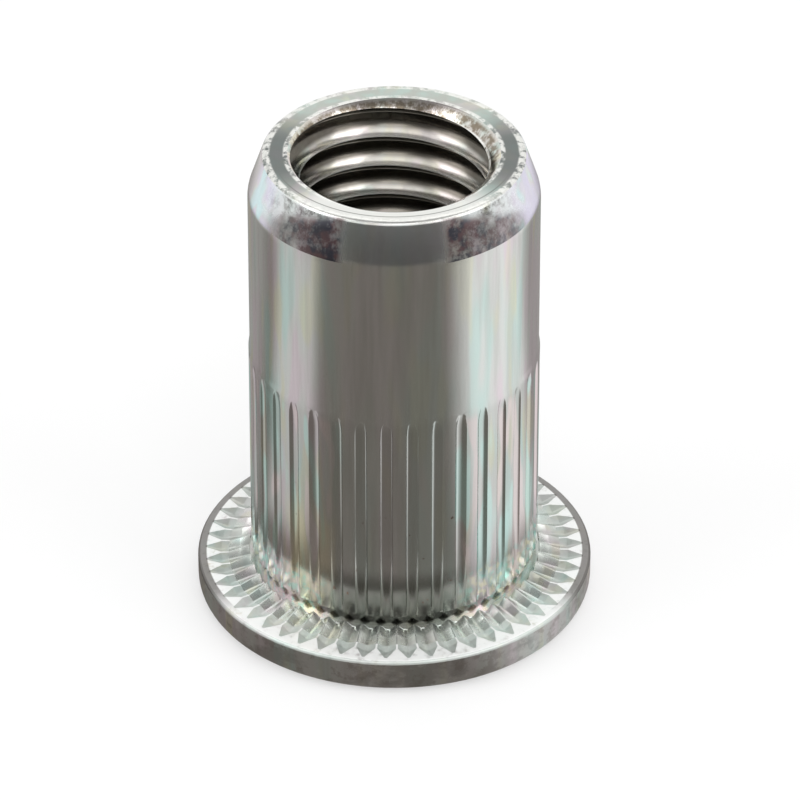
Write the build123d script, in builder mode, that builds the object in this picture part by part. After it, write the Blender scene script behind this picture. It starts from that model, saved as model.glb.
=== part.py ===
from build123d import *
from math import pi
import os

# A rivet nut stands on its flange with the threaded nose up.
# The origin is the centre of the flange's lower face, and +Z runs along the bore to the nose.
# The front of the nut faces -Y. Sizes are in millimetres and angles in degrees.

# Whole nut
overall_length = 23.0
shank_radius = 6.5

# Flange, with a full round below and a small bevel above
flange_radius = 9.0
flange_thickness = 1.8
rim_bottom_round = 0.8
rim_top_bevel = 0.2

# Neck: the short undercut between the flange and the lower ends of the ribs
neck_depth = 0.12
neck_height = 0.8

# Knurl: straight round-bottomed grooves that leave flat-topped ribs, slightly proud of the shank
knurl_length = 10.4
knurl_ramp = 0.3
rib_height = 0.05
groove_depth = 0.12
groove_radius = 0.42
groove_runout = 0.14
groove_overrun = 0.08
groove_count = 36
groove_phase = -3.0

# Collar: the flange's upper face rises towards the neck, where the teeth stand highest over a narrow gutter
collar_height = 0.38
collar_outer_step = 1.25
collar_clearance = 0.24
gutter_depth = 0.24

# Teeth on the collar: ridges left between pressed V-shaped notches, which run out before the rim
notch_count = 53
notch_phase = -2.5
notch_border = 0.33
notch_floor_width = 0.24
notch_depth = 0.25
notch_widest_step = 0.72
notch_inner_gap = 0.06
crest_width = 0.06
notch_headroom = 0.06

# Nose: a cone down to a flat ring
nose_height = 1.94
nose_step = 0.69
nose_edge_bevel = 0.13

# Bore: M10 coarse thread in the thick half, and a wider bore through the thin half that collapses
thread_minor_radius = 4.188
thread_length = 11.5
countersink_step = 0.5
counterbore_radius = 5.45
mouth_chamfer = 0.3

# Worked out from the sizes above
front = -90.0
neck_radius = shank_radius - neck_depth
neck_top = flange_thickness + neck_height
rib_radius = shank_radius + rib_height
knurl_top = neck_top + knurl_length
groove_floor_radius = rib_radius - groove_depth
groove_axis_radius = groove_floor_radius + groove_radius
groove_end = knurl_top - groove_runout
groove_start = neck_top - groove_overrun
shoulder_height = overall_length - nose_height
nose_radius = shank_radius - nose_step
countersink_radius = thread_minor_radius + countersink_step
thread_top = overall_length - countersink_step
thread_bottom = thread_top - thread_length
counterbore_top = thread_bottom - (counterbore_radius - thread_minor_radius)
collar_inner_radius = neck_radius + collar_clearance
collar_outer_radius = flange_radius - collar_outer_step
collar_top = flange_thickness + collar_height
notch_tip_radius = flange_radius - notch_border
notch_wide_radius = notch_tip_radius - notch_widest_step
notch_inner_radius = neck_radius + notch_inner_gap
notch_floor = flange_thickness - notch_depth
floor_half = notch_floor_width / 2
wide_half = (2 * pi * notch_wide_radius / notch_count - crest_width) / 2
inner_half = (2 * pi * collar_inner_radius / notch_count - crest_width) / 2
notch_spread = (wide_half - floor_half) / notch_depth
notch_inner_depth = (inner_half - floor_half) / notch_spread


def notch_section(radius, floor_height, height):
    """Draws the V of the notch at one radius, standing on its floor."""
    top_half = floor_half + notch_spread * height
    with BuildSketch(Plane.YZ.offset(radius)) as section:
        with BuildLine():
            Polyline(
                (-floor_half, floor_height),
                (floor_half, floor_height),
                (top_half, floor_height + height),
                (-top_half, floor_height + height),
                close=True,
            )
        make_face()
    return section.sketch


tip_section = notch_section(notch_tip_radius, flange_thickness, notch_depth + notch_headroom)
wide_section = notch_section(notch_wide_radius, notch_floor, notch_depth + notch_headroom)
falling_run = Vector(notch_wide_radius - notch_tip_radius, 0, notch_floor - flange_thickness)
rising_run = Vector(notch_inner_radius - notch_wide_radius, 0, collar_top - notch_inner_depth - notch_floor)

# The metal that one notch displaces: it falls from its tip to its widest place, then rises to the neck
with BuildPart() as notch:
    extrude(tip_section, amount=falling_run.length, dir=falling_run)
    extrude(wide_section, amount=rising_run.length, dir=rising_run)

# The metal that one knurl groove displaces: open to the neck below, with a sloping end above
with BuildPart() as groove:
    with BuildSketch(Plane.XY.offset(groove_start)):
        with Locations((groove_axis_radius, 0)):
            Circle(groove_radius)
    extrude(amount=knurl_top + knurl_ramp - groove_start)
    end_slope = Plane((groove_floor_radius, 0, groove_end), z_dir=(-groove_runout, 0, groove_depth))
    split(bisect_by=end_slope, keep=Keep.BOTTOM)

with BuildPart() as rivet_nut:
    # Turned section, with the bore through it
    with BuildSketch(Plane.XZ) as section:
        with BuildLine():
            Polyline(
                (counterbore_radius + mouth_chamfer, 0),
                (flange_radius, 0),
                (flange_radius, flange_thickness - rim_top_bevel),
                (flange_radius - rim_top_bevel, flange_thickness),
                (collar_outer_radius, flange_thickness),
                (collar_inner_radius, collar_top),
                (collar_inner_radius, collar_top - gutter_depth),
                (neck_radius, collar_top - gutter_depth),
                (neck_radius, neck_top),
                (rib_radius, neck_top),
                (rib_radius, knurl_top),
                (shank_radius, knurl_top + knurl_ramp),
                (shank_radius, shoulder_height),
                (nose_radius, overall_length - nose_edge_bevel),
                (nose_radius - nose_edge_bevel, overall_length),
                (countersink_radius, overall_length),
                (thread_minor_radius, thread_top),
                (thread_minor_radius, thread_bottom),
                (counterbore_radius, counterbore_top),
                (counterbore_radius, mouth_chamfer),
                close=True,
            )
        make_face()
        rim_corner = section.vertices().sort_by_distance((flange_radius, 0))[0]
        fillet(rim_corner, radius=rim_bottom_round)
    revolve(axis=Axis.Z)

    # Notches that leave the flange teeth, all the way round
    with PolarLocations(0, notch_count, start_angle=front + notch_phase):
        add(notch.part, mode=Mode.SUBTRACT)

    # Knurl grooves, all the way round
    with PolarLocations(0, groove_count, start_angle=front + groove_phase):
        add(groove.part, mode=Mode.SUBTRACT)

rivet_nut.part.label = "rivet_nut"
os.makedirs("parts", exist_ok=True)
export_step(rivet_nut.part, "parts/rivet_nut.step")
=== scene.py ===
"""A zinc plated rivet nut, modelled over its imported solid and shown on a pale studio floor."""

import logging
import math
from contextlib import contextmanager
from dataclasses import dataclass, field
from typing import Callable, Iterator, Sequence

import bmesh
import bpy
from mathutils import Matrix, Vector


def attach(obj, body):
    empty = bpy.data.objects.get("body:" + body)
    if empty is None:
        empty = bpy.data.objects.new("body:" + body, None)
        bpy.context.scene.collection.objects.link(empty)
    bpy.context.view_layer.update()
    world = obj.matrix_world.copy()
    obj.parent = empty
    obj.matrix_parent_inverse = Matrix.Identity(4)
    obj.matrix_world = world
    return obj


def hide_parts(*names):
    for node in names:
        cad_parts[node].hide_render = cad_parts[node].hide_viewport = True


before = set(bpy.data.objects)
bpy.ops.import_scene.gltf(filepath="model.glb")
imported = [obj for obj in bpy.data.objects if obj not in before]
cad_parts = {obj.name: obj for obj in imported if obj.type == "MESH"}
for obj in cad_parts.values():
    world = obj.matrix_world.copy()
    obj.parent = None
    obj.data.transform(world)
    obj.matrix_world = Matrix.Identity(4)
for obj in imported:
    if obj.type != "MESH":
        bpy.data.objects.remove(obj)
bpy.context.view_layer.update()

MM = 0.001
CAD_NODE = "rivet_nut"
BODY = "root"
CENTRE = (0.0, 0.0, 0.0)

log = logging.getLogger("rivet_nut")

Point = tuple[float, float]
Place = Callable[[Vector], bool]


class Bench:
    """The hand tools: each acts on what is selected, and takes sizes in millimetres."""

    @staticmethod
    def clear() -> None:
        """Deselects every object."""
        bpy.ops.object.select_all(action="DESELECT")

    @staticmethod
    @contextmanager
    def editing(piece: bpy.types.Object) -> Iterator[None]:
        """Opens a piece in edit mode, and closes it again.

        Args:
            piece: The object to work on.

        Returns:
            An iterator that yields once, while the piece is open.
        """
        Bench.clear()
        piece.select_set(True)
        bpy.context.view_layer.objects.active = piece
        bpy.ops.object.mode_set(mode="EDIT")
        bpy.ops.mesh.select_mode(type="VERT")
        yield
        bpy.ops.object.mode_set(mode="OBJECT")

    @staticmethod
    def pick(piece: bpy.types.Object, test: Place) -> int:
        """Selects the points whose place, in millimetres, passes a test.

        Args:
            piece: The open object.
            test: Says whether a place is wanted.

        Returns:
            How many points were selected.
        """
        mesh = bmesh.from_edit_mesh(piece.data)
        count = 0
        for point in mesh.verts:
            point.select = test(point.co / MM)
            count += point.select
        mesh.select_flush_mode()
        bmesh.update_edit_mesh(piece.data)
        return count

    @staticmethod
    def pick_border(piece: bpy.types.Object, test: Place) -> None:
        """Selects the open border edges whose both ends pass a test.

        Args:
            piece: The open object.
            test: Says whether a place, in millimetres, is wanted.
        """
        bpy.ops.mesh.select_mode(type="EDGE")
        mesh = bmesh.from_edit_mesh(piece.data)
        for edge in mesh.edges:
            edge.select = edge.is_boundary and all(test(point.co / MM) for point in edge.verts)
        mesh.select_flush_mode()
        bmesh.update_edit_mesh(piece.data)

    @staticmethod
    def pick_creases(piece: bpy.types.Object, test: Place, angle: float) -> None:
        """Selects the sharp edges between faces that lie where a test says.

        Args:
            piece: The open object.
            test: Says whether an edge's middle, in millimetres, is wanted.
            angle: The least angle between the two faces, in degrees.
        """
        bpy.ops.mesh.select_mode(type="EDGE")
        mesh = bmesh.from_edit_mesh(piece.data)
        mesh.normal_update()
        for edge in mesh.edges:
            middle = (edge.verts[0].co + edge.verts[1].co) / (2 * MM)
            sharp = len(edge.link_faces) == 2 and math.degrees(edge.calc_face_angle()) > angle
            edge.select = sharp and test(middle)
        mesh.select_flush_mode()
        bmesh.update_edit_mesh(piece.data)

    @staticmethod
    def ring(name: str, radius: float, height: float, columns: int) -> bpy.types.Object:
        """Adds an open ring of points, the start of a turned piece.

        Args:
            name: The new object's name.
            radius: The ring's radius.
            height: Its height.
            columns: How many points it has.

        Returns:
            The new object.
        """
        Bench.clear()
        bpy.ops.mesh.primitive_circle_add(
            vertices=columns, radius=radius * MM, location=(0, 0, height * MM), fill_type="NOTHING"
        )
        piece = bpy.context.active_object
        piece.name = piece.data.name = name
        bpy.ops.object.transform_apply(location=True, rotation=True, scale=True)
        return piece

    @staticmethod
    def turn_up(start: Point, section: Sequence[Point]) -> None:
        """Extrudes the selected ring along a turned section.

        Args:
            start: The radius and height where the ring is.
            section: The radius and height of each further ring.
        """
        radius, height = start
        for next_radius, next_height in section:
            move = {"value": (0, 0, (next_height - height) * MM)}
            bpy.ops.mesh.extrude_region_move(TRANSFORM_OT_translate=move)
            scale = next_radius / radius
            bpy.ops.transform.resize(value=(scale, scale, 1), center_override=CENTRE)
            radius, height = next_radius, next_height

    @staticmethod
    def patch(name: str, columns: int, rows: int, surface: Callable[[int, int], Vector]) -> bpy.types.Object:
        """Shapes a grid by moving each of its points into place.

        Args:
            name: The new object's name.
            columns: Cells across.
            rows: Cells along.
            surface: Gives the place, in millimetres, of the point in a column and a row.

        Returns:
            The shaped patch.
        """
        Bench.clear()
        bpy.ops.mesh.primitive_grid_add(x_subdivisions=columns, y_subdivisions=rows, size=MM)
        piece = bpy.context.active_object
        piece.name = piece.data.name = name
        with Bench.editing(piece):
            for index in range((columns + 1) * (rows + 1)):
                mesh = bmesh.from_edit_mesh(piece.data)
                mesh.verts.ensure_lookup_table()
                for point in mesh.verts:
                    point.select = point.index == index
                mesh.select_flush_mode()
                bmesh.update_edit_mesh(piece.data)
                goal = surface(index % (columns + 1), index // (columns + 1)) * MM
                bpy.ops.transform.translate(value=goal - mesh.verts[index].co)
        return piece

    @staticmethod
    def repeat_round(piece: bpy.types.Object, count: int) -> None:
        """Copies a patch all the way round the axis and welds the copies.

        Args:
            piece: The patch, which spans one share of the circle.
            count: How many shares the circle has.
        """
        with Bench.editing(piece):
            bpy.ops.mesh.select_all(action="SELECT")
            bpy.ops.mesh.spin(
                steps=count - 1, angle=math.tau * (count - 1) / count, dupli=True, center=CENTRE, axis=(0, 0, 1)
            )
            bpy.ops.mesh.select_all(action="SELECT")
            bpy.ops.mesh.remove_doubles(threshold=0.002 * MM)
            bpy.ops.mesh.normals_make_consistent(inside=False)

    @staticmethod
    def turn(piece: bpy.types.Object, angle: float) -> None:
        """Turns a piece about the axis, seen from above, and applies the turn.

        Args:
            piece: The object to turn.
            angle: The turn in degrees, anticlockwise.
        """
        Bench.clear()
        piece.select_set(True)
        bpy.context.view_layer.objects.active = piece
        piece.rotation_euler[2] = math.radians(angle)
        bpy.ops.object.transform_apply(location=False, rotation=True, scale=False)

    @staticmethod
    def apply(piece: bpy.types.Object, kind: str, **settings: object) -> None:
        """Adds a modifier, sets it and applies it.

        Args:
            piece: The object to change.
            kind: The modifier's type.
            **settings: Its settings by name.
        """
        Bench.clear()
        piece.select_set(True)
        bpy.context.view_layer.objects.active = piece
        modifier = piece.modifiers.new(kind.lower(), kind)
        for key, value in settings.items():
            setattr(modifier, key, value)
        bpy.ops.object.modifier_apply(modifier=modifier.name)

    @staticmethod
    def cut(piece: bpy.types.Object, tool: bpy.types.Object) -> None:
        """Cuts a closed tool's form out of a piece and takes the tool away.

        Args:
            piece: The object to cut.
            tool: The closed cutting form.
        """
        Bench.apply(piece, "BOOLEAN", operation="DIFFERENCE", solver="EXACT", object=tool)
        bpy.data.objects.remove(tool, do_unlink=True)

    @staticmethod
    def join(target: bpy.types.Object, *others: bpy.types.Object) -> None:
        """Joins objects into the first one.

        Args:
            target: The object that stays.
            *others: The objects that it takes in.
        """
        Bench.clear()
        for piece in (target, *others):
            piece.select_set(True)
        bpy.context.view_layer.objects.active = target
        bpy.ops.object.join()


def arc(centre: Point, radius: float, start: float, end: float, steps: int) -> list[Point]:
    """Gives the points of a round in a turned section.

    Args:
        centre: The round's centre, as radius and height.
        radius: The round's own radius.
        start: Where it begins, in degrees from the outward direction.
        end: Where it ends.
        steps: How many points follow the first one.

    Returns:
        The points after the first, each as radius and height.
    """
    points = []
    for step in range(1, steps + 1):
        angle = math.radians(start + (end - start) * step / steps)
        points.append((centre[0] + radius * math.cos(angle), centre[1] + radius * math.sin(angle)))
    return points


def polar(radius: float, angle: float, height: float) -> Vector:
    """Gives the place at a radius and height, at an angle in degrees from the front (-Y), towards +X."""
    return Vector((radius * math.sin(math.radians(angle)), -radius * math.cos(math.radians(angle)), height))


@dataclass
class Flange:
    """The round foot: its rim, and the ring of teeth that pressed notches leave on it."""

    radius: float = 9.0
    thickness: float = 1.8
    bottom_round: float = 0.8
    top_round: float = 0.16
    bottom_inner: float = 7.0
    notch_count: int = 53
    notch_phase: float = -2.5
    tip_radius: float = 8.67
    widest_radius: float = 7.95
    collar_foot: float = 7.6
    inner_radius: float = 6.62
    collar_top: float = 2.18
    gutter_floor: float = 1.94
    floor_half: float = 0.06
    widest_depth: float = 0.18
    inner_floor: float = 1.9
    crest_half: float = 0.035
    edge_round: float = 0.03

    @property
    def half_share(self) -> float:
        """Half the angle of one notch's share of the circle, in degrees."""
        return 180 / self.notch_count

    def land_height(self, radius: float) -> float:
        """Height of the uncut surface, which rises to the collar's top."""
        share = min(max((self.collar_foot - radius) / (self.collar_foot - self.inner_radius), 0), 1)
        return self.thickness + (self.collar_top - self.thickness) * share

    def surface(self, column: int, row: int) -> Vector:
        """Gives the place of one point of a notch's share of the toothed ring.

        Args:
            column: 0 to 7 across the notch, with its floor between 3 and 4.
            row: 0 at the gutter to 6 outside the tip.

        Returns:
            The place in millimetres.
        """
        radii = (
            self.inner_radius,
            self.inner_radius + 0.03,
            (self.inner_radius + self.collar_foot) / 2,
            self.collar_foot,
            self.widest_radius,
            self.tip_radius,
            self.radius - self.top_round - 0.02,
        )
        radius = radii[row]
        land = self.land_height(radius)
        half_pitch = math.pi * radius / self.notch_count
        if row <= 3:
            share = (self.widest_radius - radius) / (self.widest_radius - self.inner_radius)
            floor = self.thickness - self.widest_depth
            floor += (self.inner_floor - floor) * share
            lip = half_pitch - self.crest_half
        elif row == 4:
            floor = self.thickness - self.widest_depth
            lip = half_pitch - self.crest_half
        else:
            floor = self.thickness
            lip = self.floor_half + 0.001
        if row == 0:
            floor = land = self.gutter_floor
        across = (-half_pitch, -lip, -lip, -self.floor_half, self.floor_half, lip, lip, half_pitch)[column]
        height = floor if column in (3, 4) else land
        if column in (2, 5):
            across *= 0.985
            height = land - 0.02 * (land - floor)
        angle = math.degrees(across / radius)
        return polar(radius, angle, height)

    def build(self) -> bpy.types.Object:
        """Models one notch's share, copies it round, and turns the rim down from its outer border.

        Returns:
            The flange as an open shell, with its border at the gutter.
        """
        piece = Bench.patch("flange", 7, 6, self.surface)
        Bench.turn(piece, self.notch_phase)
        Bench.repeat_round(piece, self.notch_count)
        with Bench.editing(piece):
            Bench.pick_creases(piece, lambda at: at.z > 1.5, 12)
            bpy.ops.mesh.bevel(offset=self.edge_round * MM, segments=2, affect="EDGES", clamp_overlap=True)
            border = self.radius - self.top_round - 0.02
            Bench.pick_border(piece, lambda at: math.hypot(at.x, at.y) > border - 0.05)
            corner = (self.radius - self.top_round, self.thickness - self.top_round)
            foot = (self.radius - self.bottom_round, self.bottom_round)
            section = [(self.radius - self.top_round, self.thickness)]
            section += arc(corner, self.top_round, 90, 0, 4)
            section += [(self.radius, (self.thickness + self.bottom_round) / 2), (self.radius, self.bottom_round)]
            section += arc(foot, self.bottom_round, 0, -90, 9)
            section += [(self.bottom_inner, 0)]
            Bench.turn_up((border, self.thickness), section)
            bpy.ops.mesh.edge_face_add()
        return piece


@dataclass
class Shank:
    """The upright barrel: neck, knurled band, plain band, coned nose and the flat ring on top."""

    neck_radius: float = 6.38
    neck_foot: float = 1.94
    neck_top: float = 2.52
    rib_radius: float = 6.55
    rib_foot: float = 2.6
    knurl_top: float = 13.0
    knurl_ramp: float = 0.3
    groove_count: int = 36
    groove_phase: float = -3.0
    groove_half: float = 2.5
    groove_depth: float = 0.12
    wall_power: float = 3.4
    runout: float = 0.85
    groove_cells: int = 6
    edge_round: float = 0.018
    radius: float = 6.5
    shoulder: float = 21.06
    shoulder_round: float = 1.6
    nose_radius: float = 5.84
    nose_round: float = 0.24
    length: float = 23.0
    ring_inner: float = 4.9
    runout_rows: tuple[float, ...] = (0.0, 0.35, 0.62, 0.82, 0.94, 1.0)
    groove_rows: tuple[float, ...] = (4.6, 6.7, 8.8, 10.9, 11.7)
    plain_rows: tuple[float, ...] = (15.2, 17.2, 19.2)

    def section(self) -> list[Point]:
        """Gives the turned section, from the neck's foot up to the ring's inner border."""
        cone = math.atan2(self.length - self.shoulder, self.radius - self.nose_radius)
        lean = 90 - math.degrees(cone)
        points = [
            (self.neck_radius, self.neck_foot),
            (self.neck_radius, self.neck_top),
            (self.rib_radius - 0.07, self.neck_top + 0.01),
            (self.rib_radius - 0.02, self.neck_top + 0.03),
            (self.rib_radius, self.rib_foot),
        ]
        points += [(self.rib_radius, height) for height in self.groove_rows]
        start = self.knurl_top - self.runout
        points += [(self.rib_radius, start + self.runout * share) for share in self.runout_rows]
        points += [(self.rib_radius - 0.012, self.knurl_top + 0.08), (self.radius + 0.012, self.knurl_top + 0.2)]
        points += [(self.radius, self.knurl_top + self.knurl_ramp)]
        points += [(self.radius, height) for height in self.plain_rows]
        reach = self.shoulder_round * math.tan(math.radians(lean / 2))
        centre = (self.radius - self.shoulder_round, self.shoulder - reach)
        points += [(self.radius, centre[1])]
        points += arc(centre, self.shoulder_round, 0, lean, 4)
        turn = 90 - lean
        tip_reach = self.nose_round * math.tan(math.radians(turn / 2))
        tip = (self.nose_radius - tip_reach, self.length - self.nose_round)
        begin = (tip[0] + self.nose_round * math.cos(math.radians(lean)), tip[1] + self.nose_round * math.sin(math.radians(lean)))
        points += [begin]
        points += arc(tip, self.nose_round, lean, 90, 5)
        points += [(tip[0] - 0.04, self.length), (self.ring_inner, self.length)]
        return points

    def surface(self, column: int, row: int) -> Vector:
        """Gives the place of one point of a groove's share of the barrel.

        Args:
            column: 0 to 24 across one groove and the halves of its two ribs.
            row: Which point of the turned section.

        Returns:
            The place in millimetres.
        """
        radius, height = self.section()[row]
        cells = 2 * self.groove_cells
        offset = column - cells
        share_angle = 180 / self.groove_count
        first_runout = 5 + len(self.groove_rows)
        last_runout = first_runout + len(self.runout_rows) - 1
        rise = 0.0
        if first_runout <= row <= last_runout:
            rise = self.runout_rows[row - first_runout]
        narrow = math.sqrt(max(1 - 0.9 * rise * rise, 0))
        groove_edge = self.groove_half * (narrow if row <= last_runout else 1)
        if abs(offset) <= self.groove_cells:
            across = math.sin(math.pi / 2 * abs(offset) / self.groove_cells)
            angle = groove_edge * across
        else:
            across = (abs(offset) - self.groove_cells) / (cells - self.groove_cells)
            angle = groove_edge + (share_angle - groove_edge) * across
            across = 1.0
        if row <= last_runout:
            depth = self.groove_depth * (1 - across**self.wall_power) * (1 - rise**2)
            radius = min(radius, self.rib_radius - depth)
        return polar(radius, math.copysign(angle, offset), height)

    def build(self) -> bpy.types.Object:
        """Models one groove's share of the barrel, copies it round and caps it over the nose.

        Returns:
            The barrel as an open shell, capped over the nose.
        """
        section = self.section()
        piece = Bench.patch("barrel", 4 * self.groove_cells, len(section) - 1, self.surface)
        Bench.turn(piece, self.groove_phase)
        Bench.repeat_round(piece, self.groove_count)
        with Bench.editing(piece):
            Bench.pick_border(piece, lambda at: at.z > self.length - 0.1)
            bpy.ops.mesh.edge_face_add()
        return piece


@dataclass
class Bore:
    """The bore's tools: the drill form with its countersink, and the helical tap."""

    minor_radius: float = 4.188
    major_radius: float = 5.0
    pitch: float = 1.5
    crest_at_back: float = 21.46
    length: float = 23.0
    mouth_radius: float = 4.69
    mouth_round: float = 0.05
    thread_bottom: float = 11.0
    counterbore_radius: float = 5.45
    mouth_chamfer: float = 0.3
    columns: int = 192
    crest_round: float = 1.267
    crest_lean: float = 18.0
    turns: int = 12
    turn_steps: int = 128

    def drill(self) -> bpy.types.Object:
        """Turns the form of the plain bore, counterbore and countersink.

        Returns:
            A closed cutting form.
        """
        over = 0.1
        start = (self.counterbore_radius + self.mouth_chamfer + over, -over)
        counter_top = self.thread_bottom - (self.counterbore_radius - self.minor_radius)
        sink = self.mouth_radius - self.minor_radius
        section = [
            (self.counterbore_radius, self.mouth_chamfer),
            (self.counterbore_radius, counter_top),
            (self.minor_radius, self.thread_bottom),
            (self.minor_radius, self.length - sink),
            (self.mouth_radius - self.mouth_round, self.length - self.mouth_round),
            (self.mouth_radius + self.mouth_round / 2, self.length - 0.01),
            (self.mouth_radius + self.mouth_round * 2, self.length + 0.01),
            (self.mouth_radius + self.mouth_round * 2, self.length + over),
        ]
        tool = Bench.ring("drill", start[0], start[1], self.columns)
        with Bench.editing(tool):
            bpy.ops.mesh.select_all(action="SELECT")
            bpy.ops.mesh.edge_face_add()
            Bench.turn_up(start, section)
            bpy.ops.mesh.select_all(action="SELECT")
            bpy.ops.mesh.normals_make_consistent(inside=False)
        return tool

    def profile(self) -> list[Point]:
        """Gives the tap's whole tooth, as radius and height, from its lower shank corner up.

        The lower side leaves the thread's upper crest edge broadly rounded, as a worn tap does. The upper side is the
        plain flank.
        """
        crest = self.pitch / 2
        flat = self.pitch / 8
        centre = (
            self.minor_radius + self.crest_round * math.cos(math.radians(self.crest_lean)),
            -flat - self.crest_round * math.sin(math.radians(self.crest_lean)),
        )
        points = [(self.minor_radius - 0.3, -crest - flat + 0.006), (self.minor_radius - 0.03, -crest - flat + 0.006)]
        for lean in (self.crest_lean + 0.5, 26, 34, 42, 50, 60):
            away = math.radians(lean)
            points.append(
                (centre[0] - self.crest_round * math.cos(away), centre[1] + self.crest_round * math.sin(away) - crest)
            )
        points += [
            (self.major_radius - 0.04, -0.117),
            (self.major_radius, -0.06),
            (self.major_radius, 0.06),
            (self.major_radius - 0.04, 0.117),
            (self.minor_radius + 0.01, crest - flat - 0.006),
            (self.minor_radius - 0.03, crest - flat),
            (self.minor_radius - 0.3, crest - flat),
        ]
        return points

    def tap(self) -> bpy.types.Object:
        """Winds the tap's tooth into a right-handed helix.

        Returns:
            A closed cutting form.
        """
        start = self.crest_at_back - self.pitch / 2 - self.pitch / 4
        start -= self.pitch * (self.turns - 3)
        outline = self.profile()
        Bench.clear()
        bpy.ops.mesh.primitive_circle_add(vertices=len(outline), radius=MM, fill_type="NOTHING")
        tool = bpy.context.active_object
        tool.name = tool.data.name = "tap"
        with Bench.editing(tool):
            for index, (radius, height) in enumerate(outline):
                mesh = bmesh.from_edit_mesh(tool.data)
                mesh.verts.ensure_lookup_table()
                for point in mesh.verts:
                    point.select = point.index == index
                mesh.select_flush_mode()
                bmesh.update_edit_mesh(tool.data)
                goal = Vector((radius, 0, start + height)) * MM
                bpy.ops.transform.translate(value=goal - mesh.verts[index].co)
        Bench.apply(
            tool, "SCREW", angle=math.tau, screw_offset=self.pitch * MM, iterations=self.turns,
            steps=self.turn_steps, render_steps=self.turn_steps, axis="Z",
        )
        with Bench.editing(tool):
            bpy.ops.mesh.select_mode(type="EDGE")
            bpy.ops.mesh.select_all(action="DESELECT")
            bpy.ops.mesh.select_non_manifold(extend=False, use_boundary=True)
            bpy.ops.mesh.edge_face_add()
            bpy.ops.mesh.select_all(action="SELECT")
            bpy.ops.mesh.normals_make_consistent(inside=False)
        return tool


@dataclass
class Nut:
    """The whole rivet nut: flange and barrel in one skin, with the bore and thread cut into it."""

    flange: Flange = field(default_factory=Flange)
    shank: Shank = field(default_factory=Shank)
    bore: Bore = field(default_factory=Bore)

    def build(self) -> bpy.types.Object:
        """Joins the shells, cuts the bore and shades the skin.

        Returns:
            The finished nut, riding on the body and standing for its solid.
        """
        piece = self.flange.build()
        Bench.join(piece, self.shank.build())
        piece.name = piece.data.name = "plated_rivet_nut"
        with Bench.editing(piece):
            gutter = self.flange.inner_radius + 0.1
            Bench.pick_border(piece, lambda at: math.hypot(at.x, at.y) < gutter)
            bpy.ops.mesh.bridge_edge_loops()
            bpy.ops.mesh.select_all(action="SELECT")
            bpy.ops.mesh.normals_make_consistent(inside=False)
        Bench.cut(piece, self.bore.drill())
        Bench.cut(piece, self.bore.tap())
        Bench.clear()
        piece.select_set(True)
        bpy.ops.object.shade_smooth_by_angle(angle=math.radians(38))
        Bench.apply(piece, "WEIGHTED_NORMAL", keep_sharp=True, weight=80)
        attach(piece, BODY)
        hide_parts(CAD_NODE)
        return piece


class Value:
    """A number that changes over a surface. Arithmetic on it adds the Math nodes."""

    def __init__(self, graph: "Graph", socket: bpy.types.NodeSocket) -> None:
        """Wraps a node's output socket."""
        self.graph = graph
        self.socket = socket

    def maths(self, operation: str, first: object, second: object = None, clamp: bool = False) -> "Value":
        """Adds one Math node and gives its result."""
        inputs = {0: first} if second is None else {0: first, 1: second}
        return self.graph.value("ShaderNodeMath", {"operation": operation, "use_clamp": clamp}, inputs)

    def __add__(self, other: object) -> "Value":
        """Adds."""
        return self.maths("ADD", self, other)

    __radd__ = __add__

    def __mul__(self, other: object) -> "Value":
        """Multiplies."""
        return self.maths("MULTIPLY", self, other)

    __rmul__ = __mul__

    def __sub__(self, other: object) -> "Value":
        """Subtracts."""
        return self.maths("SUBTRACT", self, other)

    def __rsub__(self, other: object) -> "Value":
        """Subtracts this from a number."""
        return self.maths("SUBTRACT", other, self)

    def __truediv__(self, other: object) -> "Value":
        """Divides."""
        return self.maths("DIVIDE", self, other)

    def clamped(self) -> "Value":
        """Keeps the value between 0 and 1."""
        return self.maths("ADD", self, 0.0, clamp=True)

    def size(self) -> "Value":
        """Drops the sign."""
        return self.maths("ABSOLUTE", self)

    def root(self) -> "Value":
        """Gives the square root."""
        return self.maths("SQRT", self)

    def between(self, low: float, high: float) -> "Value":
        """Rises softly from 0 at the low mark to 1 at the high mark, or falls where low is above high."""
        settings = {"interpolation_type": "SMOOTHSTEP"}
        if low < high:
            return self.graph.value("ShaderNodeMapRange", settings, {0: self, 1: low, 2: high, 3: 0.0, 4: 1.0})
        return self.graph.value("ShaderNodeMapRange", settings, {0: self, 1: high, 2: low, 3: 1.0, 4: 0.0})


Colour = tuple[float, float, float]


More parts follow.
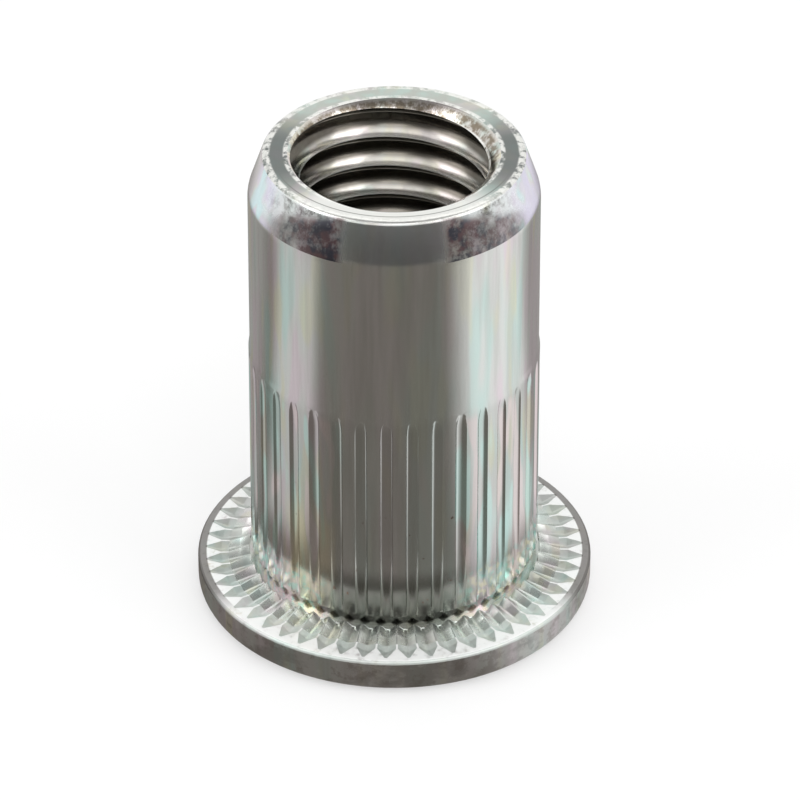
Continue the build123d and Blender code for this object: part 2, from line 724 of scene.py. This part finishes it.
class Graph:
    """A node tree that is being written."""

    def __init__(self, tree: bpy.types.NodeTree) -> None:
        """Empties the tree."""
        self.tree = tree
        tree.nodes.clear()

    def node(self, kind: str, settings: dict | None = None, inputs: dict | None = None) -> bpy.types.Node:
        """Adds a node, sets it and joins its sockets.

        Args:
            kind: The node's type.
            settings: Its own settings, which are set first.
            inputs: Values, colours, sockets or Values by the socket's name or number.

        Returns:
            The new node.
        """
        made = self.tree.nodes.new(kind)
        for key, setting in (settings or {}).items():
            setattr(made, key, setting)
        for key, given in (inputs or {}).items():
            socket = made.inputs[key]
            if isinstance(given, Value):
                given = given.socket
            if isinstance(given, bpy.types.NodeSocket):
                self.tree.links.new(given, socket)
            elif isinstance(given, tuple) and socket.type == "RGBA":
                socket.default_value = (*given, 1.0)
            else:
                socket.default_value = given
        return made

    def value(self, kind: str, settings: dict | None = None, inputs: dict | None = None, out: object = 0) -> Value:
        """Adds a node and gives one of its outputs as a Value."""
        return Value(self, self.node(kind, settings, inputs).outputs[out])

    def mix(self, factor: object, first: object, second: object, blend: str = "MIX") -> bpy.types.NodeSocket:
        """Mixes two colours.

        Args:
            factor: How much of the second colour shows.
            first: A colour or a colour socket.
            second: Another one.
            blend: The way they blend.

        Returns:
            The mixed colour's socket.
        """
        settings = {"data_type": "RGBA", "blend_type": blend, "clamp_factor": True}
        return self.node("ShaderNodeMix", settings, {0: factor, 6: first, 7: second}).outputs[2]

    def noise(self, place: object, scale: float, detail: float = 2.0, rough: float = 0.5) -> Value:
        """Gives a noise from 0 to 1, with its scale in patches for each metre."""
        inputs = {"Vector": place, "Scale": scale, "Detail": detail, "Roughness": rough}
        return self.value("ShaderNodeTexNoise", {"noise_dimensions": "3D"}, inputs, "Fac")

    def stretched(self, place: object, scale: tuple[float, float, float]) -> bpy.types.NodeSocket:
        """Scales the place along each axis before a texture reads it."""
        return self.node("ShaderNodeVectorMath", {"operation": "MULTIPLY"}, {0: place, 1: scale}).outputs[0]


@dataclass
class Skin:
    """What a finish works on: the graph, the place on the nut, and the look so far."""

    graph: Graph
    place: bpy.types.NodeSocket
    radius: Value
    height: Value
    angle: Value
    colour: bpy.types.NodeSocket
    rough: Value
    metallic: Value | float
    relief: Value

    def stain_and_painted_light(self, share: object, colour: Colour) -> None:
        """Covers a share of the skin with a colour, which is a stain on some shares and painted shade or a painted
        highlight on others.
        """
        self.colour = self.graph.mix(share, self.colour, colour)


@dataclass(frozen=True)
class ZincPlate:
    """Bright zinc with a thin clear passivate, which tints it in faint streaks."""

    name: str
    tone: Colour = (0.72, 0.72, 0.7)
    roughness: float = 0.2
    streak_stretch: float = 0.06
    streak_scale: float = 1400.0
    tint: float = 0.45
    bump: float = 0.25
    bump_scale: float = 5200.0
    bump_height: float = 0.006

    def wear_and_painted_light(self, skin: Skin) -> None:
        """Adds what is this finish's own: its wear, and on some finishes painted shade and highlights. Plain plate has
        nothing more.
        """

    def dress(self) -> bpy.types.Material:
        """Writes the plate's material.

        Returns:
            The new material.
        """
        material = bpy.data.materials.new(self.name)
        material.use_nodes = True
        graph = Graph(material.node_tree)
        place = graph.node("ShaderNodeTexCoord").outputs["Object"]
        parts = graph.node("ShaderNodeSeparateXYZ", None, {0: place})
        across, ahead, height = (Value(graph, socket) * (1 / MM) for socket in parts.outputs)
        streak = graph.noise(graph.stretched(place, (1.0, 1.0, self.streak_stretch)), self.streak_scale, 3.0, 0.6)
        hue = graph.noise(graph.stretched(place, (1.0, 1.0, 0.15)), 860.0, 1.5, 0.5)
        gold = graph.noise(graph.stretched(place, (1.0, 1.0, 0.14)), 1150.0, 1.0, 0.5)
        angle = across.maths("ARCTAN2", across, 0 - ahead) * (180 / math.pi)
        flank = angle.size().between(20, 42) * (0.4 + 0.6 * angle.size().between(125, 95))
        strength = (0.35 + 0.65 * flank) * self.tint
        colour = graph.mix(hue.between(0.5, 0.64) * strength, self.tone, (0.52, 0.76, 0.71))
        colour = graph.mix(hue.between(0.48, 0.36) * strength, colour, (0.78, 0.62, 0.7))
        colour = graph.mix(gold.between(0.54, 0.66) * strength, colour, (0.78, 0.75, 0.52))
        colour = graph.mix(streak.between(0.38, 0.68) * 0.45, colour, (0.5, 0.49, 0.46))
        fine = graph.noise(place, self.bump_scale, 3.0, 0.6)
        broad = graph.noise(place, 260.0, 2.0, 0.5)
        skin = Skin(
            graph,
            place,
            (across * across + ahead * ahead).root(),
            height,
            angle,
            colour,
            self.roughness + streak * 0.08 + broad * 0.06 - 0.07,
            1.0,
            fine * 0.5 + streak * 0.5,
        )
        self.wear_and_painted_light(skin)
        bump = graph.node(
            "ShaderNodeBump", None, {"Strength": self.bump, "Distance": self.bump_height * MM, "Height": skin.relief}
        )
        shader = graph.node(
            "ShaderNodeBsdfPrincipled",
            None,
            {
                "Base Color": skin.colour,
                "Metallic": skin.metallic,
                "Roughness": skin.rough.clamped(),
                "Normal": bump.outputs[0],
            },
        )
        graph.node("ShaderNodeOutputMaterial", None, {"Surface": shader.outputs[0]})
        return material


@dataclass(frozen=True)
class BarrelPlate(ZincPlate):
    """The barrel's plate: painted shade over the knurled band, in its grooves and, darkest, where it meets the flange,
    with tints and a few rusty flecks among the ribs.
    """

    rib_tint: float = 0.6
    foot: tuple[float, float] = (5.2, 3.9)
    foot_depth: float = 0.92

    def wear_and_painted_light(self, skin: Skin) -> None:
        """Paints shade over the knurled band, in its grooves and at the foot, tints the ribs and sprinkles the flecks.
        """
        graph, turn = skin.graph, skin.angle.size()
        middle = turn.between(62, 20)
        front = turn.between(42, 15)
        # painted shade over the knurled band, stronger at the sides than at the front
        skin.stain_and_painted_light(skin.height.between(13.2, 12.6) * (0.26 - 0.16 * middle), (0.25, 0.245, 0.23))
        # painted shade in the grooves, stronger at the front
        groove = skin.radius.between(6.535, 6.5) * skin.height.between(13.0, 12.2)
        skin.stain_and_painted_light(groove * (0.08 + 0.14 * front), (0.27, 0.25, 0.235))
        drift = graph.noise(graph.stretched(skin.place, (1.0, 1.0, 0.16)), 1300.0, 1.0, 0.5)
        ribs = turn.between(18, 30) * (0.35 + 0.65 * turn.between(112, 85))
        ribs = ribs * skin.height.between(13.0, 12.4) * self.rib_tint
        skin.stain_and_painted_light(ribs * drift.between(0.53, 0.62), (0.55, 0.79, 0.74))
        skin.stain_and_painted_light(ribs * drift.between(0.46, 0.38), (0.82, 0.68, 0.68))
        gold = skin.angle.between(-22, -28) * skin.angle.between(-52, -42) * skin.height.between(8.6, 6.4)
        skin.stain_and_painted_light(gold * drift.between(0.38, 0.5) * 0.42, (0.88, 0.74, 0.46))
        spot = graph.noise(skin.place, 2300.0, 2.0, 0.6)
        corner = skin.height.between(4.8, 3.7) * turn.between(22, 34) * 0.5
        skin.stain_and_painted_light(corner * spot.between(0.54, 0.62), (0.36, 0.76, 0.68))
        skin.stain_and_painted_light(corner * spot.between(0.46, 0.38), (0.88, 0.82, 0.55))
        # painted shade at the foot, where the barrel meets the flange, strongest at the front
        painted_shade = skin.height.between(*self.foot) * (0.1 + 0.9 * front) * self.foot_depth
        skin.stain_and_painted_light(painted_shade, (0.17, 0.17, 0.15))
        fleck = skin.graph.noise(skin.place, 2600.0, 2.0, 0.7).between(0.7, 0.74)
        skin.stain_and_painted_light(fleck * middle * skin.height.between(9.5, 8.0) * 0.7, (0.2, 0.09, 0.06))


@dataclass(frozen=True)
class NosePlate(ZincPlate):
    """The cone's plate: a painted dark reflection, mottled, on its two flanks, and pearly tints past them."""

    dark_reflection_start: float = 19.5
    dark_reflection_end: float = 64.0
    darkness: float = 0.96

    def wear_and_painted_light(self, skin: Skin) -> None:
        """Paints the mottled dark reflection, darkens a band on the left and tints the ends."""
        graph, turn = skin.graph, skin.angle.size()
        pearl = graph.noise(graph.stretched(skin.place, (1.0, 1.0, 0.6)), 900.0, 1.0, 0.5)
        ends = turn.between(50, 68) * (0.15 + 0.6 * turn.between(112, 90))
        skin.stain_and_painted_light(ends * pearl.between(0.4, 0.56), (0.72, 0.66, 0.84))
        skin.stain_and_painted_light(ends * pearl.between(0.5, 0.38), (0.62, 0.82, 0.86))
        # painted dark reflection, mottled, over the cone's two flanks
        cover = (skin.height + (turn - 21) * 0.03).between(23.35, 22.85)
        reach = (skin.angle - 4).size().between(self.dark_reflection_end, 52)
        band = turn.between(self.dark_reflection_start, self.dark_reflection_start + 4) * reach * cover
        blotch = graph.noise(skin.place, 760.0, 5.0, 0.72) * 0.6 + graph.noise(skin.place, 3600.0, 4.0, 0.75) * 0.4
        # a darker band on the left side, a quarter turn from the front
        skin.stain_and_painted_light(skin.angle.between(-74, -86) * skin.angle.between(-110, -98) * 0.7, (0.42, 0.37, 0.32))
        upper = (skin.height + (turn - 21) * 0.03).between(22.6, 23.1) * turn.between(18, 30) * turn.between(80, 50)
        haze = graph.noise(skin.place, 1900.0, 3.0, 0.65).between(0.3, 0.6) * upper
        skin.stain_and_painted_light(haze * 0.6, (0.78, 0.84, 0.84))
        skin.metallic = 1 - haze * 0.7
        fade = turn.between(self.dark_reflection_end, 24) * 0.3 + 0.7
        dark = (band * fade * (0.3 + 0.7 * blotch.between(0.66, 0.45)) * self.darkness).clamped()
        tint = graph.noise(skin.place, 1500.0, 2.0, 0.6)
        brown = graph.mix(tint.between(0.4, 0.56), (0.05, 0.05, 0.07), (0.14, 0.08, 0.085))
        skin.colour = graph.mix(dark, skin.colour, brown)
        skin.rough = skin.rough + dark * 0.2
        skin.relief = skin.relief + dark * blotch * 1.5


@dataclass(frozen=True)
class RingPlate(ZincPlate):
    """The end ring's plate: a painted highlight across its front, painted shade on its two sides, and painted
    highlights on its burred borders.
    """

    inner_border: float = 4.96
    outer_border: float = 5.46
    line_radius: float = 5.36

    def wear_and_painted_light(self, skin: Skin) -> None:
        """Paints the front highlight, the side shade and the border highlights, and roughens the borders."""
        turn = skin.angle.size()
        side = (turn - 88).size().between(51, 12)
        # painted highlight across the front
        skin.stain_and_painted_light(turn.between(58, 38) * 0.8, (0.88, 0.88, 0.85))
        # painted shade on the two sides
        skin.stain_and_painted_light(side * 0.92, (0.15, 0.165, 0.16))
        # painted highlights on the borders, broken up by the burrs, which also roughen the relief
        border = skin.radius.between(self.inner_border, self.inner_border - 0.1)
        border = (border + skin.radius.between(self.outer_border, self.outer_border + 0.1)).clamped()
        burr_and_glint = skin.graph.noise(skin.place, 2400.0, 4.0, 0.7)
        skin.stain_and_painted_light(border * burr_and_glint.between(0.38, 0.56) * 0.85, (0.92, 0.92, 0.88))
        line = (skin.radius - self.line_radius).size().between(0.05, 0.015) * turn.between(80, 50)
        skin.stain_and_painted_light(line * 0.7, (0.16, 0.16, 0.15))
        skin.relief = skin.relief + burr_and_glint * border * 6 + burr_and_glint * 1.2


@dataclass(frozen=True)
class BorePlate(ZincPlate):
    """The bore's plate: dark in the thread's roots and flanks, painted highlights on the crests and the mouth's edge,
    and brown and torn in the countersink.
    """

    def wear_and_painted_light(self, skin: Skin) -> None:
        """Darkens the roots, paints highlights on the crests and the mouth's edge, and browns the countersink."""
        graph = skin.graph
        # darker in the thread's roots, below the mouth
        root = skin.radius.between(4.27, 4.5) * skin.height.between(22.6, 22.45)
        root_mottle = graph.noise(graph.stretched(skin.place, (1.0, 1.0, 3.0)), 2200.0, 3.0, 0.7)
        skin.stain_and_painted_light(root * (0.86 + root_mottle * 0.14), (0.085, 0.075, 0.06))
        sink = skin.height.between(22.4, 22.55) * skin.height.between(23.0, 22.86)
        torn = graph.noise(graph.stretched(skin.place, (1.0, 1.0, 0.35)), 3600.0, 3.0, 0.7)
        skin.stain_and_painted_light(sink * torn.between(0.66, 0.4) * 0.85, (0.2, 0.155, 0.1))
        # painted highlights on the thread's crests and on the countersink's lower edge
        crest = skin.radius.between(4.26, 4.2) * skin.height.between(22.5, 22.4)
        lip = (skin.height - 22.5).size().between(0.1, 0.04) * skin.angle.size().between(40, 80)
        painted_highlight = (crest * 0.45 + lip * torn.between(0.25, 0.5)).clamped()
        skin.stain_and_painted_light(painted_highlight, (0.95, 0.95, 0.91))
        skin.metallic = 1 - painted_highlight * 0.6
        skin.relief = skin.relief + sink * torn * 4


@dataclass(frozen=True)
class LandPlate(ZincPlate):
    """The frosted uncut face between the notches, and the plain border outside them, with painted shade at the sides.
    """

    frost: float = 0.95
    frost_tone: Colour = (0.95, 0.96, 0.95)
    side_shade: float = 0.0
    border: float = 8.64

    def wear_and_painted_light(self, skin: Skin) -> None:
        """Frosts the face, and paints shade on its sides, most on the outer border."""
        side = skin.angle.size().between(50, 70)
        # painted shade on the two sides, most on the outer border
        painted_shade = side * (skin.radius.between(self.border - 0.07, self.border) * 0.92 + self.side_shade).clamped()
        speck = skin.graph.noise(skin.place, 3000.0, 3.0, 0.6).between(0.15, 0.5) * (1 - painted_shade)
        skin.stain_and_painted_light(painted_shade, (0.2, 0.19, 0.18))
        skin.stain_and_painted_light(speck * self.frost, self.frost_tone)
        skin.metallic = 1 - speck * self.frost * 0.85
        skin.rough = skin.rough + 0.25


@dataclass(frozen=True)
class RimPlate(ZincPlate):
    """The rim's plate, scuffed and smudged, with painted shade on its left side."""

    def wear_and_painted_light(self, skin: Skin) -> None:
        """Smudges the rim and paints shade on its left side."""
        graph = skin.graph
        smudge = graph.noise(graph.stretched(skin.place, (1.0, 1.0, 1.6)), 420.0, 4.0, 0.65)
        # painted shade on the left side
        skin.stain_and_painted_light(skin.angle.between(-70, -86) * 0.45, (0.3, 0.28, 0.26))
        skin.stain_and_painted_light(smudge.between(0.46, 0.62) * 0.55, (0.34, 0.32, 0.31))
        blot = graph.noise(skin.place, 800.0, 5.0, 0.7)
        skin.stain_and_painted_light(blot.between(0.52, 0.6) * 0.4, (0.3, 0.25, 0.23))
        skin.stain_and_painted_light(blot.between(0.43, 0.36) * 0.3, (0.88, 0.87, 0.84))
        skin.rough = skin.rough + smudge * 0.12
        skin.relief = skin.relief + smudge * 1.2


@dataclass(frozen=True)
class Region:
    """A stretch of the nut's skin with one finish."""

    finish: ZincPlate
    holds: Callable[[Vector, Vector], bool]


@dataclass
class Dressing:
    """Gives each face of the nut the finish of the stretch that it lies in."""

    nut: Nut

    def regions(self) -> list[Region]:
        """Lists the stretches of skin. A face takes the first one that holds it."""
        flange, shank, bore = self.nut.flange, self.nut.shank, self.nut.bore

        def radius(at: Vector) -> float:
            return math.hypot(at.x, at.y)

        def in_bore(at: Vector, normal: Vector) -> bool:
            inside = radius(at) < bore.major_radius + 0.02 or (at.z < 11.5 and radius(at) < 5.8)
            return inside and at.z < shank.length - 0.02

        def on_ring(at: Vector, normal: Vector) -> bool:
            return at.z > shank.length - 0.05

        def on_nose(at: Vector, normal: Vector) -> bool:
            return at.z > shank.shoulder - 0.05

        def on_land(at: Vector, normal: Vector) -> bool:
            level = flange.land_height(radius(at))
            outside = flange.collar_foot < radius(at) < flange.radius - 0.08
            return outside and level - 0.012 < at.z < level + 0.1 and normal.z > 0.8

        def on_notch(at: Vector, normal: Vector) -> bool:
            return radius(at) > shank.neck_radius + 0.05 and 1.5 < at.z < 2.3 and normal.z > 0.15

        def on_tip(at: Vector, normal: Vector) -> bool:
            return on_notch(at, normal) and radius(at) > flange.collar_foot - 0.02

        def on_rim(at: Vector, normal: Vector) -> bool:
            return at.z < flange.thickness + 0.1 and radius(at) > shank.rib_radius

        return [
            Region(BorePlate("bore_plate", tone=(0.74, 0.71, 0.66), bump=0.35), in_bore),
            Region(RingPlate("ring_plate", tone=(0.5, 0.54, 0.49), roughness=0.3, bump=0.5), on_ring),
            Region(NosePlate("nose_plate", roughness=0.24, bump=0.4), on_nose),
            Region(LandPlate("land_plate", bump=0.2), on_land),
            Region(LandPlate("tip_plate", tone=(0.6, 0.65, 0.61), frost=0.5, frost_tone=(0.74, 0.79, 0.76), side_shade=0.3), on_tip),
            Region(LandPlate("notch_plate", tone=(0.7, 0.75, 0.7), roughness=0.02, frost=0.1, side_shade=0.22), on_notch),
            Region(RimPlate("rim_plate", tone=(0.66, 0.65, 0.64), roughness=0.27, bump=0.5), on_rim),
            Region(BarrelPlate("barrel_plate", tint=0.6), lambda at, normal: True),
        ]

    def dress(self, piece: bpy.types.Object) -> None:
        """Adds the finishes to the piece's slots and deals them out to its faces.

        Args:
            piece: The nut.
        """
        regions = self.regions()
        piece.data.materials.clear()
        for region in regions:
            piece.data.materials.append(region.finish.dress())
        for face in piece.data.polygons:
            at = face.center / MM
            face.material_index = next(
                index for index, region in enumerate(regions) if region.holds(at, face.normal)
            )


@dataclass(frozen=True)
class Card:
    """A flat card of one tone with soft edges, which only the metal sees, as a studio's flags and reflectors."""

    name: str
    azimuth: float
    elevation: float
    width: float
    height: float
    level: float
    distance: float = 240.0
    soft: float = 0.25

    def build(self) -> bpy.types.Object:
        """Stands the card at its place, facing the nut.

        Returns:
            The card.
        """
        Bench.clear()
        bpy.ops.mesh.primitive_plane_add(size=1)
        card = bpy.context.active_object
        card.name = card.data.name = self.name
        flat = math.cos(math.radians(self.elevation))
        way = polar(self.distance * flat, self.azimuth, self.distance * math.sin(math.radians(self.elevation)))
        card.location = (way + Vector((0, 0, 12))) * MM
        card.rotation_mode = "QUATERNION"
        card.rotation_quaternion = (-way).to_track_quat("-Z", "Y")
        card.scale = (self.width * MM, self.height * MM, 1)
        material = bpy.data.materials.new(self.name)
        material.use_nodes = True
        graph = Graph(material.node_tree)
        place = graph.node("ShaderNodeTexCoord").outputs["Object"]
        parts = graph.node("ShaderNodeSeparateXYZ", None, {0: place})
        inside = Value(graph, parts.outputs[0]).size().between(0.5, 0.5 - self.soft)
        inside = inside * Value(graph, parts.outputs[1]).size().between(0.5, 0.5 - self.soft)
        glow = graph.node("ShaderNodeEmission", None, {"Color": (1.0, 1.0, 1.0), "Strength": self.level})
        clear = graph.node("ShaderNodeBsdfTransparent")
        shader = graph.node("ShaderNodeMixShader", None, {0: inside, 1: clear.outputs[0], 2: glow.outputs[0]})
        graph.node("ShaderNodeOutputMaterial", None, {"Surface": shader.outputs[0]})
        card.data.materials.append(material)
        only_for_metal(card)
        return card


def only_for_metal(card: bpy.types.Object) -> None:
    """Lets a stage piece show in reflections alone.

    Args:
        card: The stage piece.
    """
    card.visible_camera = card.visible_diffuse = card.visible_shadow = False
    card.visible_transmission = card.visible_volume_scatter = False


@dataclass(frozen=True)
class TableCard:
    """A grey sheet round the nut's foot, with a pale window on each side, which only the metal sees."""

    inner_radius: float = 8.6
    outer_radius: float = 265.0
    back_angle: float = 96.0
    back_reach: float = 44.0
    height: float = 0.03
    level: Colour = (0.2, 0.19, 0.172)
    window_level: Colour = (0.98, 1.0, 1.0)
    left_window: tuple[float, float] = (-98.0, -58.0)
    left_start: float = 12.5
    left_level: float = 0.58
    right_near_rim: float = 0.56
    behind_level: float = 0.2
    right_window: tuple[float, float] = (49.0, 112.0)
    left_edge: float = 6.0
    right_edge: float = 13.0

    def build(self) -> bpy.types.Object:
        """Lays the sheet just above the floor.

        Returns:
            The sheet.
        """
        sheet = Bench.ring("table_card", self.inner_radius, self.height, 96)
        with Bench.editing(sheet):
            bpy.ops.mesh.select_all(action="SELECT")
            Bench.turn_up((self.inner_radius, self.height), [(self.outer_radius, self.height)])
        material = bpy.data.materials.new("table_card")
        material.use_nodes = True
        graph = Graph(material.node_tree)
        place = graph.node("ShaderNodeTexCoord").outputs["Object"]
        parts = graph.node("ShaderNodeSeparateXYZ", None, {0: place})
        across, ahead = Value(graph, parts.outputs[0]), Value(graph, parts.outputs[1])
        angle = across.maths("ARCTAN2", across, 0 - ahead) * (180 / math.pi)
        reach = (across * across + ahead * ahead).root() * (1 / MM)
        left, right = (
            angle.between(start - edge, start + edge) * angle.between(end + edge, end - edge)
            for (start, end), edge in ((self.left_window, self.left_edge), (self.right_window, self.right_edge))
        )
        left = left * reach.between(self.left_start, self.left_start + 2.5)
        back = angle.size().between(self.back_angle, self.back_angle + 20) * reach.between(
            self.back_reach, self.back_reach + 25
        )
        left = left * self.left_level
        far = reach.between(10.8, 13.5)
        near = angle.between(22, 50) * (self.right_near_rim - 0.3 * angle.between(58, 84)) * angle.between(125, 100)
        right = right * far + near * (1 - far)
        behind = angle.size().between(98, 126) * self.behind_level
        tone = graph.mix((left + right + back + behind).clamped(), self.level, self.window_level)
        glow = graph.node("ShaderNodeEmission", None, {"Color": tone, "Strength": 1.0})
        graph.node("ShaderNodeOutputMaterial", None, {"Surface": glow.outputs[0]})
        sheet.data.materials.append(material)
        only_for_metal(sheet)
        return sheet


@dataclass(frozen=True)
class Lamp:
    """A soft square lamp that faces the nut."""

    name: str
    azimuth: float
    elevation: float
    size: float
    power: float
    distance: float = 300.0

    def build(self) -> bpy.types.Object:
        """Hangs the lamp at its place.

        Returns:
            The lamp.
        """
        light = bpy.data.lights.new(self.name, "AREA")
        light.size = self.size * MM
        light.energy = self.power
        lamp = bpy.data.objects.new(self.name, light)
        bpy.context.scene.collection.objects.link(lamp)
        flat = math.cos(math.radians(self.elevation))
        way = polar(self.distance * flat, self.azimuth, self.distance * math.sin(math.radians(self.elevation)))
        lamp.location = (way + Vector((0, 0, 10))) * MM
        lamp.rotation_mode = "QUATERNION"
        lamp.rotation_quaternion = (-way).to_track_quat("-Z", "Y")
        return lamp


@dataclass
class Studio:
    """The pale floor, the white surroundings, the lamps and cards, and the camera."""

    elevation: float = 33.52
    camera_distance: float = 293.7
    lens: float = 292.5
    aim_across: float = 0.258
    aim_height: float = 9.923
    floor_size: float = 1500.0
    floor_white: float = 0.92
    floor_glow: float = 0.5
    sky_level: float = 0.8
    lamps: tuple[Lamp, ...] = (
        Lamp("left_lamp", -70, 42, 160, 0.16),
        Lamp("right_lamp", 62, 38, 180, 0.18),
        Lamp("back_lamp", 175, 62, 200, 0.05),
        Lamp("front_lamp", 8, 52, 110, 0.16),
    )
    cards: tuple[Card, ...] = (
        Card("overhead_flag", 0, 88, 330, 330, 0.25),
        Card("left_flag", -72, 10, 320, 130, 0.1),
        Card("right_flag", 72, 10, 320, 130, 0.1),
        Card("front_flag", 0, 8, 560, 190, 0.075, soft=0.15),
        Card("front_reflector", 0, 41, 230, 170, 1.15, 232.0),
    )

    def lay_floor(self) -> None:
        """Lays the pale floor, which glows white for the camera but keeps the nut's shadow."""
        Bench.clear()
        bpy.ops.mesh.primitive_plane_add(size=self.floor_size * MM)
        floor = bpy.context.active_object
        floor.name = floor.data.name = "studio_floor"
        material = bpy.data.materials.new("studio_floor")
        material.use_nodes = True
        graph = Graph(material.node_tree)
        white = (self.floor_white,) * 3
        matt = graph.node("ShaderNodeBsdfDiffuse", None, {"Color": white})
        glow = graph.node("ShaderNodeEmission", None, {"Color": (1.0, 1.0, 1.0), "Strength": 1.0})
        seen = self.seen(graph) * self.floor_glow
        shader = graph.node("ShaderNodeMixShader", None, {0: seen, 1: matt.outputs[0], 2: glow.outputs[0]})
        graph.node("ShaderNodeOutputMaterial", None, {"Surface": shader.outputs[0]})
        floor.data.materials.append(material)

    @staticmethod
    def seen(graph: Graph) -> Value:
        """Gives 1 for rays from the camera and for those that metal or glass sends on."""
        path = graph.node("ShaderNodeLightPath")
        rays = [Value(graph, path.outputs[name]) for name in ("Is Camera Ray", "Is Glossy Ray", "Is Transmission Ray")]
        return (rays[0] + rays[1] + rays[2]).clamped()

    def light(self) -> None:
        """Sets the surroundings, the lamps and the cards."""
        world = bpy.data.worlds.new("studio_world")
        world.use_nodes = True
        graph = Graph(world.node_tree)
        level = self.sky_level + self.seen(graph) * (1 - self.sky_level)
        sky = graph.node("ShaderNodeBackground", None, {"Color": (1.0, 1.0, 1.0), "Strength": level})
        graph.node("ShaderNodeOutputWorld", None, {"Surface": sky.outputs[0]})
        bpy.context.scene.world = world
        for item in (*self.lamps, *self.cards, TableCard()):
            item.build()

    def place_camera(self) -> None:
        """Stands the camera where the photograph was taken from."""
        data = bpy.data.cameras.new("studio_camera")
        data.lens = self.lens
        data.sensor_width = 36.0
        data.clip_start = 0.01
        data.clip_end = 5.0
        camera = bpy.data.objects.new("studio_camera", data)
        bpy.context.scene.collection.objects.link(camera)
        tilt = math.radians(self.elevation)
        away = Vector((0, -math.cos(tilt), math.sin(tilt))) * self.camera_distance
        camera.location = (Vector((self.aim_across, 0, self.aim_height)) + away) * MM
        camera.rotation_euler = (math.pi / 2 - tilt, 0, 0)
        bpy.context.scene.camera = camera

    def build(self) -> None:
        """Sets up the whole studio."""
        self.lay_floor()
        self.light()
        self.place_camera()
        bpy.context.scene.view_settings.view_transform = "Standard"


def main() -> None:
    """Models the nut, dresses it and sets up the studio."""
    logging.basicConfig(level=logging.INFO, format="%(message)s")
    nut = Nut()
    piece = nut.build()
    log.info("nut: %d faces", len(piece.data.polygons))
    Dressing(nut).dress(piece)
    log.info("dressed in %d finishes", len(piece.data.materials))
    Studio().build()
    log.info("studio ready")


if __name__ == "__main__":
    main()
